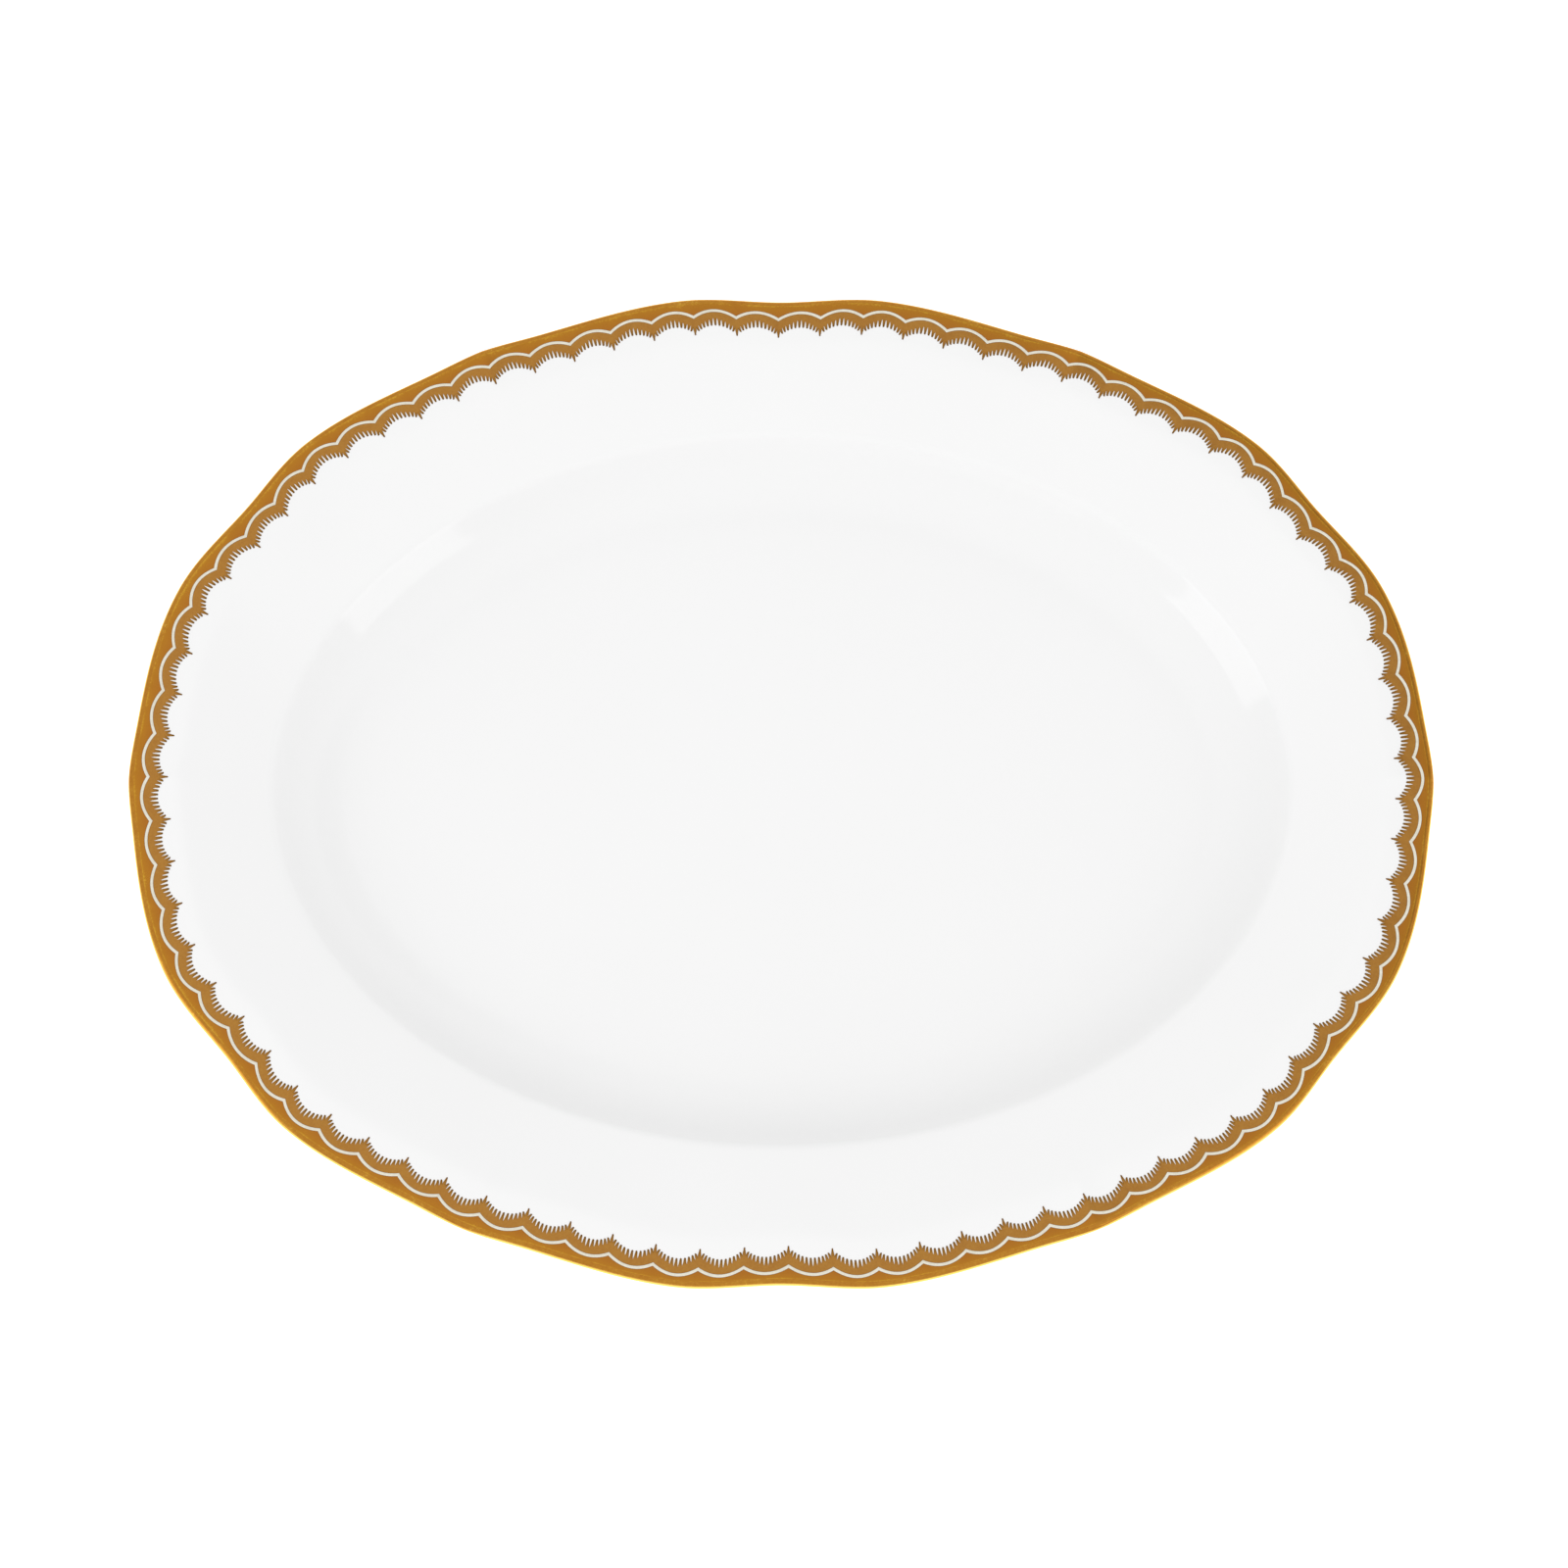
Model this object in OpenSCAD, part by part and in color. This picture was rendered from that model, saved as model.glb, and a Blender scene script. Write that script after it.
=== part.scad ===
// Oval serving platter in white porcelain, with a wavy gilt edge.
// Origin: middle of the foot's tread. +X along the length, +Y across the width, +Z up.
// The outline is an oval with six notches and six points. Every ring of the dish and every
// edge of the gilding is that outline, moved in by some inset. Near the well the waves die out.

/* [Oval edge] */
// Length of the oval that the wavy edge swings about
oval_length = 408; // [330:1:490]
// Width of the oval that the wavy edge swings about
oval_width = 320; // [265:1:385]
// How far the oval is squared off, at its ends and sides
squareness = 0.8; // [0:0.1:1.5]
// How far each notch cuts inside the oval
notch_depth = 1.0; // [0:0.1:1.5]
// How far the shoulders beside a notch stand out
shoulder_rise = 1.35; // [0:0.05:2]
// How far the dip beside a point lies inside the oval
dip_depth = 0.9; // [0:0.1:1.5]
// How far the tip of a point lies inside the oval
point_depth = 0.2; // [0:0.1:1]
// Angle of the four corner notches from the long axis
notch_angle = 33.5; // [30:0.5:37]
// Angle of the four corner points from the long axis
point_angle = 62; // [58:0.5:66]

/* [Dish] */
// Width of the rim, from the edge to the break into the well
rim_width = 45; // [38:0.5:54]
// Rise of the rim, from the break to the level border
rim_rise = 6; // [4.5:0.5:8]
// Depth of the well below the break
well_depth = 13; // [11:0.5:16]
// Slope of the well's wall from level
wall_angle = 48; // [42:1:54]
// Radius of the break between the rim and the wall
break_radius = 5; // [3:0.5:6.5]
// Radius of the hollow between the wall and the floor
hollow_radius = 26; // [18:1:28]
// Length of the soft bend between the rim and the level border, each side of its corner
border_bend = 2.5; // [1.5:0.1:3.5]
// Thickness of the porcelain at the lip
lip_thickness = 2.8; // [2.4:0.1:3.4]
// Thickness of the porcelain under the break
wall_thickness = 4; // [3.4:0.1:4.8]
// Thickness of the porcelain in the floor
floor_thickness = 4.5; // [3.8:0.1:5.4]

/* [Foot] */
// Height of the foot below the floor
foot_height = 4; // [3:0.1:5]
// Width of the foot's tread
foot_width = 5; // [4:0.1:6]
// Gap between the rounded heel of the dish and the foot
foot_setback = 1; // [0.5:0.1:3]
// Radius of the heel under the well's wall
heel_radius = 12; // [8:0.5:15]

/* [Gilding] */
// Thickness that stands in for every layer of gold and enamel
gilt_thickness = 0.1; // [0.08:0.01:0.15]
// Width of the burnished gold over the lip
lip_gilt_width = 1.8; // [1.6:0.1:2]
// Number of arches round the border
arch_count = 81; // [60:1:96]
// Inset of the pale line at the top of an arch
arch_inset = 3.8; // [3.4:0.1:4.8]
// Depth of an arch, from its top to its cusp
arch_depth = 2.2; // [1:0.1:2.4]
// Width of the pale line
line_width = 0.85; // [0.6:0.05:1.1]
// Width of the gold band inside the line, down to its teeth
comb_width = 3.6; // [2.6:0.1:4.3]
// Length of the long tooth at each cusp
tooth_length = 2.2; // [1:0.1:2.8]
// Width of the long tooth where it leaves the band
tooth_width = 1.2; // [0.8:0.1:2]
// Level porcelain left between the longest teeth and the bend of the rim
border_margin = 0.8; // [0.3:0.1:2]

/* [Hidden] */

// Columns round the dish, and steps in each rounded corner of its section
columns = 144;
corner_steps = 4;
lip_steps = 6;
arch_steps = 6;

half_length = oval_length / 2;
half_width = oval_width / 2;

// Where a shoulder and a dip lie on the way from a notch (0) to a point (1)
shoulder_at = 0.32;
dip_at = 0.8;

// The level border is as wide as the gilding that it carries
comb_inset = arch_inset + line_width / 2 + comb_width;
border_width = comb_inset + arch_depth + tooth_length + border_margin;

floor_z = foot_height + floor_thickness;
break_z = floor_z + well_depth;
border_z = break_z + rim_rise;
lip_radius = lip_thickness / 2;
lip_z = border_z - lip_radius;

function mix(a, b, t) = a + (b - a) * t;
function ease(t) = t * t * (3 - 2 * t);
function clamp01(t) = min(1, max(0, t));

// Angle from the long axis, folded into one quarter of the oval
function quarter(angle) = abs(asin(sin(angle)));

function way_to_point(a) =
    a < notch_angle ? 1 - a / notch_angle :
    a < point_angle ? (a - notch_angle) / (point_angle - notch_angle) :
    (90 - a) / (90 - point_angle);

function wave(t) =
    t < shoulder_at ? mix(-notch_depth, shoulder_rise, ease(t / shoulder_at)) :
    t < dip_at ? mix(shoulder_rise, -dip_depth, ease((t - shoulder_at) / (dip_at - shoulder_at))) :
    mix(-dip_depth, -point_depth, ease((t - dip_at) / (1 - dip_at)));

function edge_shift(angle) = wave(way_to_point(quarter(angle))) - squareness * cos(4 * angle);

// The waves keep their full height across the border and die out towards the break
function waviness(inset) = 1 - ease(clamp01((inset - border_width) / (rim_width - border_width)));

function outline_point(angle, inset) =
    let (across = [cos(angle) / half_length, sin(angle) / half_width])
    [half_length * cos(angle), half_width * sin(angle)]
        + across / norm(across) * (waviness(inset) * edge_shift(angle) - inset);

// Angle on the oval that lies the share t of the way round, counted in degrees
oval_flatness = (half_length ^ 2 - half_width ^ 2) / (half_length ^ 2 + half_width ^ 2);
function even_angle(t) = t + oval_flatness / 4 * 180 / PI * sin(2 * t);

function ring_outline(inset) = [for (i = [0:columns - 1]) outline_point(i * 360 / columns, inset)];

// Sections are lists of [inset, height]. An arc replaces the corner b of the path a, b, c.
function rounded(a, b, c, radius, steps) =
    let (to_a = (a - b) / norm(a - b))
    let (to_c = (c - b) / norm(c - b))
    let (half = acos(to_a * to_c) / 2)
    let (centre = b + (to_a + to_c) / norm(to_a + to_c) * radius / sin(half))
    let (start = b + to_a * radius / tan(half) - centre)
    let (end = b + to_c * radius / tan(half) - centre)
    let (turn = (180 - 2 * half) * sign(cross(start, end)) / steps)
    let (first = atan2(start.y, start.x))
    [for (i = [0:steps]) centre + radius * [cos(first + i * turn), sin(first + i * turn)]];

function underside_normal(a, b) = [b.y - a.y, a.x - b.x] / norm(b - a);

// The corner b of the path a, b, c, moved down through the porcelain
function below(a, b, c, thickness) =
    let (normal = underside_normal(a, b))
    let (miter = (normal + underside_normal(b, c)) / norm(normal + underside_normal(b, c)))
    b + miter * thickness / (normal * miter);

function lip_arc(radius, last_angle) =
    [for (i = [0:lip_steps])
        let (angle = mix(90, last_angle, i / lip_steps))
        [lip_radius - radius * cos(angle), lip_z + radius * sin(angle)]];

lip_top = [lip_radius, border_z];
border_corner = [border_width + border_bend, border_z];
break_corner = [rim_width, break_z];
floor_corner = [rim_width + well_depth / tan(wall_angle), floor_z];
floor_middle = floor_corner + [half_width, 0];

lip_under = lip_top - [0, lip_thickness];
border_under = below(lip_top, border_corner, break_corner, lip_thickness);
break_under = below(border_corner, break_corner, floor_corner, wall_thickness);
heel_corner = below(break_corner, floor_corner, floor_middle, floor_thickness);
under_middle = [floor_middle.x, foot_height];

rim_slope = atan2(rim_rise, rim_width - border_corner.x);
bend_radius = border_bend / tan(rim_slope / 2);

top_section = concat(
    rounded(floor_middle, floor_corner, break_corner, hollow_radius, corner_steps + 2),
    rounded(floor_corner, break_corner, border_corner, break_radius, corner_steps),
    rounded(break_corner, border_corner, lip_top, bend_radius, 2)
);
under_section = concat(
    rounded(lip_under, border_under, break_under, bend_radius, 2),
    rounded(border_under, break_under, heel_corner, break_radius, 2),
    rounded(break_under, heel_corner, under_middle, heel_radius, corner_steps)
);
body_section = concat(top_section, lip_arc(lip_radius, -90), under_section);

flat_underside_inset = under_section[len(under_section) - 1].x;
foot_outer_inset = flat_underside_inset + foot_setback;

// Two triangles between neighbouring columns a, b of one ring and c, d of the next. A leaning
// pair is split along the other diagonal, so that it matches the layer it lies on.
function patch(a, b, c, d, leaning) = leaning ? [[a, b, c], [b, d, c]] : [[a, b, d], [a, d, c]];

// Skin through a list of [inset, height] rings. A closed one joins its last ring to its first,
// and rings from lean_from on have leaning patches.
module ring_solid(section, closed, lean_from) {
    rings = len(section);
    points = [for (ring = section) for (p = ring_outline(ring.x)) [p.x, p.y, ring.y]];
    walls = [for (r = [0:rings - (closed ? 1 : 2)]) for (i = [0:columns - 1])
        let (next = (i + 1) % columns)
        let (here = r * columns)
        let (there = ((r + 1) % rings) * columns)
        each patch(here + i, here + next, there + i, there + next, r >= lean_from)];
    last_ring = (rings - 1) * columns;
    caps = closed ? [] : [
        [for (i = [columns - 1:-1:0]) i],
        [for (i = [0:columns - 1]) last_ring + i]
    ];
    polyhedron(points, concat(walls, caps));
}

// The fired dish: floor, well, rim and rounded lip
module body() {
    color("white") ring_solid(body_section, false, len(body_section));
}

// The bare ring that the dish stands on
module foot_ring() {
    color("linen") linear_extrude(foot_height) difference() {
        polygon(ring_outline(foot_outer_inset));
        polygon(ring_outline(foot_outer_inset + foot_width));
    }
}

// Burnished gold wrapped over the lip and a little way under it
module lip_gilding() {
    last_angle = -60;
    lip_shape = lip_arc(lip_radius, -90);
    covered = [for (p = lip_shape) if (p.y >= lip_z + lip_radius * sin(last_angle) - 0.001) p];
    outer = [for (p = covered) [lip_radius, lip_z] + (p - [lip_radius, lip_z]) * (1 + gilt_thickness / lip_radius)];
    inner = [for (i = [len(covered) - 1:-1:0]) covered[i]];
    section = concat(
        [[lip_gilt_width, border_z + gilt_thickness]],
        outer,
        inner,
        [[lip_gilt_width, border_z]]
    );
    color("goldenrod") ring_solid(section, true, len(outer) + 1);
}

// Edge of the line or of a band that follows the arches, one arch after another from a cusp
function arch_outline(inset) =
    [for (k = [0:arch_count - 1]) for (i = [0:arch_steps - 1])
        let (across = 2 * i / arch_steps - 1)
        outline_point(even_angle(270 + (k + i / arch_steps) * 360 / arch_count), inset + arch_depth * across ^ 2)];

module gilt_layer() {
    translate([0, 0, border_z]) linear_extrude(gilt_thickness) children();
}

// Darker gold between the lip and the line
module ground_band() {
    color("peru") gilt_layer() difference() {
        polygon(ring_outline(lip_gilt_width));
        polygon(arch_outline(arch_inset - line_width / 2));
    }
}

// The pale line of arches
module scallop_line() {
    color("lightgray") gilt_layer() difference() {
        polygon(arch_outline(arch_inset - line_width / 2));
        polygon(arch_outline(arch_inset + line_width / 2));
    }
}

// Inner edge of the comb, with its long tooth at every cusp
function comb_outline() =
    let (half_tooth = tooth_width / 2 * 360 / (PI * (half_length + half_width - 2 * comb_inset)))
    [for (k = [0:arch_count - 1])
        let (cusp = 270 + k * 360 / arch_count)
        each concat(
            [outline_point(even_angle(cusp - half_tooth), comb_inset + arch_depth)],
            [outline_point(even_angle(cusp), comb_inset + arch_depth + tooth_length)],
            [outline_point(even_angle(cusp + half_tooth), comb_inset + arch_depth)],
            [for (i = [1:arch_steps - 1])
                let (across = 2 * i / arch_steps - 1)
                outline_point(even_angle(cusp + i / arch_steps * 360 / arch_count),
                    comb_inset + arch_depth * across ^ 2)]
        )];

// Gold band inside the line, edged with its teeth
module comb_band() {
    color("darkgoldenrod") gilt_layer() difference() {
        polygon(arch_outline(arch_inset + line_width / 2));
        polygon(comb_outline());
    }
}

body();
foot_ring();
lip_gilding();
ground_band();
scallop_line();
comb_band();
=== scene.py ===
import math

import bpy
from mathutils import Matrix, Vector


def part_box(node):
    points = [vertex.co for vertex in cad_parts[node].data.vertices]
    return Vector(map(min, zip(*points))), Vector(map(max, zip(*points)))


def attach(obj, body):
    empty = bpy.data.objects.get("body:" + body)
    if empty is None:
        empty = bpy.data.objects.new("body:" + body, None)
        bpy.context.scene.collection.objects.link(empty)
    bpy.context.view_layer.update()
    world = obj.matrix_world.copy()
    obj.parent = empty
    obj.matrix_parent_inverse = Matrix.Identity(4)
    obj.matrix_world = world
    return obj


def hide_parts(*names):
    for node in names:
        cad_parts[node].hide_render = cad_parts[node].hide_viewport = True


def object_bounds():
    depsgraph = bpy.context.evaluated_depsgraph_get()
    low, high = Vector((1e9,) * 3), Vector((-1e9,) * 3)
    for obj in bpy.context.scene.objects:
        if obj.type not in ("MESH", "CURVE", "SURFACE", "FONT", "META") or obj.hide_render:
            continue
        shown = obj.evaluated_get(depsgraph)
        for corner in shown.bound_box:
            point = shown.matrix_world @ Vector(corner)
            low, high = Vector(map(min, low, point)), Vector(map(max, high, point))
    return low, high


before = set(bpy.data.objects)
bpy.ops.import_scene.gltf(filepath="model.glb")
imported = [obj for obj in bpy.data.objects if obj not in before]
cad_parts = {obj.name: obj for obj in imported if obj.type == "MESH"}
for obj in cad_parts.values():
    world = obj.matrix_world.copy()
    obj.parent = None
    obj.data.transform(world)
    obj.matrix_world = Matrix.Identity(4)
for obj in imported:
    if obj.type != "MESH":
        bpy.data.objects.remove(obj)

cadLow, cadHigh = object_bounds()
bodyLow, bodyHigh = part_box("body")
footLow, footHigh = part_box("foot_ring")
mm = 0.001
samePoint = 0.000001             # vertices closer than this, in metres, are one


# ---- the oval that every ring of the dish follows ----

outline = {
    "halfLength": 204 * mm,
    "halfWidth": 160 * mm,
    "squareness": 0.8 * mm,      # how far the oval is squared off
    "notchDepth": 1.0 * mm,
    "shoulderRise": 1.35 * mm,
    "dipDepth": 0.9 * mm,
    "pointDepth": 0.2 * mm,
    "notchAngle": 33.5,
    "pointAngle": 62.0,
    "shoulderAt": 0.32,          # on the way from a notch (0) to a point (1)
    "dipAt": 0.8,
    "wavesKeepTo": 12.9 * mm,    # inset up to which the waves keep their height
    "wavesEndAt": 45 * mm,
    "floorFrom": 70 * mm,        # further in, rings shrink to the middle instead
    "columns": 720,
}
lipCurve = {
    "from": 3.2 * mm,            # inset at which the border starts to fall to the lip
    "fall": 0.3 * mm,
}
creases = {
    "angles": (0, 62, 118, 180, 242, 298),
    "height": 0.38 * mm,
    "halfWidth": 12 * mm,
    "keepTo": 6 * mm,
    "endAt": 32 * mm,
}


def mix(a, b, t):
    return a + (b - a) * t


def ease(t):
    t = min(1.0, max(0.0, t))
    return t * t * (3 - 2 * t)


def edgeShift(angle):
    quarter = abs(math.degrees(math.asin(math.sin(math.radians(angle)))))
    notch, point = outline["notchAngle"], outline["pointAngle"]
    if quarter < notch:
        way = 1 - quarter / notch
    elif quarter < point:
        way = (quarter - notch) / (point - notch)
    else:
        way = (90 - quarter) / (90 - point)
    shoulderAt, dipAt = outline["shoulderAt"], outline["dipAt"]
    if way < shoulderAt:
        shift = mix(-outline["notchDepth"], outline["shoulderRise"], ease(way / shoulderAt))
    elif way < dipAt:
        fall = ease((way - shoulderAt) / (dipAt - shoulderAt))
        shift = mix(outline["shoulderRise"], -outline["dipDepth"], fall)
    else:
        shift = mix(-outline["dipDepth"], -outline["pointDepth"], ease((way - dipAt) / (1 - dipAt)))
    return shift - outline["squareness"] * math.cos(math.radians(4 * angle))


def outlinePoint(angle, inset):
    turn = math.radians(angle)
    along = Vector((outline["halfLength"] * math.cos(turn), outline["halfWidth"] * math.sin(turn)))
    across = Vector((math.cos(turn) / outline["halfLength"],
                     math.sin(turn) / outline["halfWidth"])).normalized()
    fade = ease((inset - outline["wavesKeepTo"]) / (outline["wavesEndAt"] - outline["wavesKeepTo"]))
    return along + across * ((1 - fade) * edgeShift(angle) - inset)


def lipFall(inset):
    return -lipCurve["fall"] * max(0.0, 1 - inset / lipCurve["from"]) ** 2


def creaseLift(angle, inset):
    fade = 1 - ease((inset - creases["keepTo"]) / (creases["endAt"] - creases["keepTo"]))
    if fade == 0:
        return 0
    here = outlinePoint(angle, 0)
    lift = 0
    for creaseAngle in creases["angles"]:
        away = (here - outlinePoint(creaseAngle, 0)).length / creases["halfWidth"]
        lift += creases["height"] * (1 - min(1.0, away)) ** 2
    return lift * fade


def onDish(angle, inset, height):
    floorFrom = outline["floorFrom"]
    if inset > floorFrom:
        share = (outline["halfLength"] - inset) / (outline["halfLength"] - floorFrom)
        place = outlinePoint(angle, floorFrom) * share
    else:
        place = outlinePoint(angle, inset)
    return Vector((place.x, place.y, height + creaseLift(angle, inset) + lipFall(inset)))


# ---- helpers for modelling ----

def clearSelection():
    if bpy.context.mode != "OBJECT":
        bpy.ops.object.mode_set(mode="OBJECT")
    bpy.ops.object.select_all(action="DESELECT")


def selectOnly(piece):
    clearSelection()
    bpy.context.view_layer.objects.active = piece
    piece.select_set(True)


def closeMesh(piece, doubles=samePoint):
    selectOnly(piece)
    bpy.ops.object.mode_set(mode="EDIT")
    bpy.ops.mesh.select_all(action="SELECT")
    bpy.ops.mesh.remove_doubles(threshold=doubles)
    bpy.ops.mesh.normals_make_consistent(inside=False)
    bpy.ops.object.mode_set(mode="OBJECT")


def applyModifier(piece, modifier):
    selectOnly(piece)
    bpy.ops.object.modifier_apply(modifier=modifier.name)


def finishPiece(piece, node, material, smoothAngle=40):
    selectOnly(piece)
    bpy.ops.object.shade_smooth_by_angle(angle=math.radians(smoothAngle))
    piece.data.materials.clear()
    piece.data.materials.append(material)
    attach(piece, "root")
    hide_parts(node)
    clearSelection()
    triangles = sum(len(face.vertices) - 2 for face in piece.data.polygons)
    print("made", piece.name, triangles, "triangles")


# A corner of a section, rounded off; sections are lists of (inset, height)
def roundedCorner(before, corner, after, radius, steps):
    before, corner, after = Vector(before), Vector(corner), Vector(after)
    back, ahead = (before - corner).normalized(), (after - corner).normalized()
    half = back.angle(ahead) / 2
    centre = corner + (back + ahead).normalized() * radius / math.sin(half)
    start = corner + back * radius / math.tan(half) - centre
    end = corner + ahead * radius / math.tan(half) - centre
    first = math.atan2(start.y, start.x)
    turn = start.angle(end) * (1 if start.x * end.y > start.y * end.x else -1)
    return [centre + radius * Vector((math.cos(first + turn * i / steps), math.sin(first + turn * i / steps)))
            for i in range(steps + 1)]


def underCorner(before, corner, after, thickness):
    before, corner, after = Vector(before), Vector(corner), Vector(after)
    sideOne, sideTwo = (corner - before).normalized(), (after - corner).normalized()
    normalOne, normalTwo = Vector((sideOne.y, -sideOne.x)), Vector((sideTwo.y, -sideTwo.x))
    miter = (normalOne + normalTwo).normalized()
    return corner + miter * thickness / normalOne.dot(miter)


# Extra points along straight stretches longer than the given length
def filled(section, longest):
    points = [Vector(section[0])]
    for spot in section[1:]:
        spot = Vector(spot)
        pieces = max(1, math.ceil((spot - points[-1]).length / longest - 0.001))
        start = points[-1]
        points += [start.lerp(spot, (i + 1) / pieces) for i in range(pieces)]
    return points


# The section is drawn as an edge, spun round the axis, and then moved out onto the oval
def spinSection(name, section, closed):
    wheel = outline["halfLength"]
    clearSelection()
    bpy.ops.mesh.primitive_plane_add(size=1 * mm, location=(wheel - section[0][0], 0, section[0][1]))
    piece = bpy.context.object
    piece.name = name
    bpy.ops.object.mode_set(mode="EDIT")
    bpy.ops.mesh.merge(type="CENTER")
    bpy.ops.mesh.select_all(action="SELECT")
    stops = list(section) + ([section[0]] if closed else [])
    for here, there in zip(stops, stops[1:]):
        step = (here[0] - there[0], 0, there[1] - here[1])
        bpy.ops.mesh.extrude_vertices_move(TRANSFORM_OT_translate={"value": step})
    bpy.ops.mesh.select_all(action="SELECT")
    bpy.ops.mesh.spin(steps=outline["columns"], angle=2 * math.pi, center=(0, 0, 0), axis=(0, 0, 1))
    bpy.ops.object.mode_set(mode="OBJECT")
    bpy.ops.object.transform_apply(location=True, rotation=True, scale=True)
    closeMesh(piece)
    for vert in piece.data.vertices:
        angle = math.degrees(math.atan2(vert.co.y, vert.co.x))
        inset = wheel - math.hypot(vert.co.x, vert.co.y)
        vert.co = onDish(angle, inset, vert.co.z)
    piece.data.update()
    return piece


# ---- finishes ----

def newMaterial(name):
    material = bpy.data.materials.new(name)
    material.use_nodes = True
    nodes, links = material.node_tree.nodes, material.node_tree.links
    return material, nodes, links, nodes["Principled BSDF"]


def addNode(nodes, kind, **values):
    node = nodes.new(kind)
    for key, value in values.items():
        setattr(node, key, value)
    return node


def startGroup(name, inputs, outputs):
    group = bpy.data.node_groups.new(name, "ShaderNodeTree")
    for socketName, kind, value in inputs:
        socket = group.interface.new_socket(name=socketName, in_out="INPUT", socket_type=kind)
        if value is not None:
            socket.default_value = value
    for socketName, kind in outputs:
        group.interface.new_socket(name=socketName, in_out="OUTPUT", socket_type=kind)
    give, take = group.nodes.new("NodeGroupInput"), group.nodes.new("NodeGroupOutput")
    return group, group.nodes, group.links, give, take


def noiseNode(nodes, links, vector, scale, detail=3, roughness=0.5):
    noise = addNode(nodes, "ShaderNodeTexNoise")
    noise.inputs["Detail"].default_value = detail
    noise.inputs["Roughness"].default_value = roughness
    links.new(vector, noise.inputs["Vector"])
    if isinstance(scale, (int, float)):
        noise.inputs["Scale"].default_value = scale
    else:
        links.new(scale, noise.inputs["Scale"])
    return noise.outputs["Fac"]


def mathNode(nodes, links, operation, first, second=None, third=None, clamp=False):
    node = addNode(nodes, "ShaderNodeMath", operation=operation, use_clamp=clamp)
    for i, value in enumerate((first, second, third)):
        if value is None:
            continue
        if isinstance(value, (int, float)):
            node.inputs[i].default_value = value
        else:
            links.new(value, node.inputs[i])
    return node.outputs[0]


def rangeNode(nodes, links, value, fromLow, fromHigh, toLow, toHigh):
    node = addNode(nodes, "ShaderNodeMapRange")
    for name, amount in (("From Min", fromLow), ("From Max", fromHigh),
                         ("To Min", toLow), ("To Max", toHigh)):
        node.inputs[name].default_value = amount
    links.new(value, node.inputs["Value"])
    return node.outputs["Result"]


def rampNode(nodes, links, value, stops):
    ramp = addNode(nodes, "ShaderNodeValToRGB")
    while len(ramp.color_ramp.elements) < len(stops):
        ramp.color_ramp.elements.new(0.5)
    for element, (place, colour) in zip(ramp.color_ramp.elements, stops):
        element.position = place
        element.color = (*colour, 1)
    links.new(value, ramp.inputs["Fac"])
    return ramp.outputs["Color"]


def mixColour(nodes, links, amount, first, second):
    node = addNode(nodes, "ShaderNodeMix", data_type="RGBA")
    for socket, value in ((node.inputs[0], amount), (node.inputs[6], first), (node.inputs[7], second)):
        if isinstance(value, (int, float)):
            socket.default_value = value
        elif isinstance(value, tuple):
            socket.default_value = (*value, 1)
        else:
            links.new(value, socket)
    return node.outputs[2]


# Slow drifts of tone, the fine ripple of a fired glaze, and a few pinholes
def buildGlazeRipple():
    group, nodes, links, give, take = startGroup(
        "glazeRipple",
        [("Vector", "NodeSocketVector", None), ("Drift Scale", "NodeSocketFloat", 14.0),
         ("Ripple Scale", "NodeSocketFloat", 160.0)],
        [("Tone", "NodeSocketFloat"), ("Gloss", "NodeSocketFloat"), ("Height", "NodeSocketFloat")])
    drift = noiseNode(nodes, links, give.outputs["Vector"], give.outputs["Drift Scale"], 3, 0.55)
    ripple = noiseNode(nodes, links, give.outputs["Vector"], give.outputs["Ripple Scale"], 2, 0.4)
    pits = addNode(nodes, "ShaderNodeTexVoronoi")
    pits.inputs["Scale"].default_value = 240
    pits.inputs["Randomness"].default_value = 1
    links.new(give.outputs["Vector"], pits.inputs["Vector"])
    pinhole = rangeNode(nodes, links, pits.outputs["Distance"], 0.02, 0.05, -0.6, 0.0)
    links.new(drift, take.inputs["Tone"])
    driftShare = mathNode(nodes, links, "MULTIPLY", drift, 0.65)
    links.new(mathNode(nodes, links, "MULTIPLY_ADD", ripple, 0.35, driftShare), take.inputs["Gloss"])
    links.new(mathNode(nodes, links, "ADD", ripple, pinhole), take.inputs["Height"])
    return group


# Patches where gold lies thicker or thinner, with fine brush streaks
def buildGoldBloom():
    group, nodes, links, give, take = startGroup(
        "goldBloom",
        [("Vector", "NodeSocketVector", None), ("Patch Scale", "NodeSocketFloat", 90.0),
         ("Streak Scale", "NodeSocketFloat", 900.0)],
        [("Tone", "NodeSocketFloat"), ("Gloss", "NodeSocketFloat"), ("Height", "NodeSocketFloat")])
    patch = noiseNode(nodes, links, give.outputs["Vector"], give.outputs["Patch Scale"], 4, 0.6)
    streak = noiseNode(nodes, links, give.outputs["Vector"], give.outputs["Streak Scale"], 3, 0.6)
    patchShare = mathNode(nodes, links, "MULTIPLY", patch, 0.5)
    links.new(mathNode(nodes, links, "MULTIPLY_ADD", streak, 0.5, patchShare), take.inputs["Tone"])
    links.new(patch, take.inputs["Gloss"])
    links.new(streak, take.inputs["Height"])
    return group


def useGroup(nodes, links, group, vector, **values):
    node = addNode(nodes, "ShaderNodeGroup", node_tree=group)
    links.new(vector, node.inputs["Vector"])
    for key, value in values.items():
        node.inputs[key.replace("_", " ")].default_value = value
    return node


def addBump(nodes, links, shader, height, strength, distance):
    bump = addNode(nodes, "ShaderNodeBump")
    bump.inputs["Strength"].default_value = strength
    bump.inputs["Distance"].default_value = distance
    links.new(height, bump.inputs["Height"])
    links.new(bump.outputs["Normal"], shader.inputs["Normal"])


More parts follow.
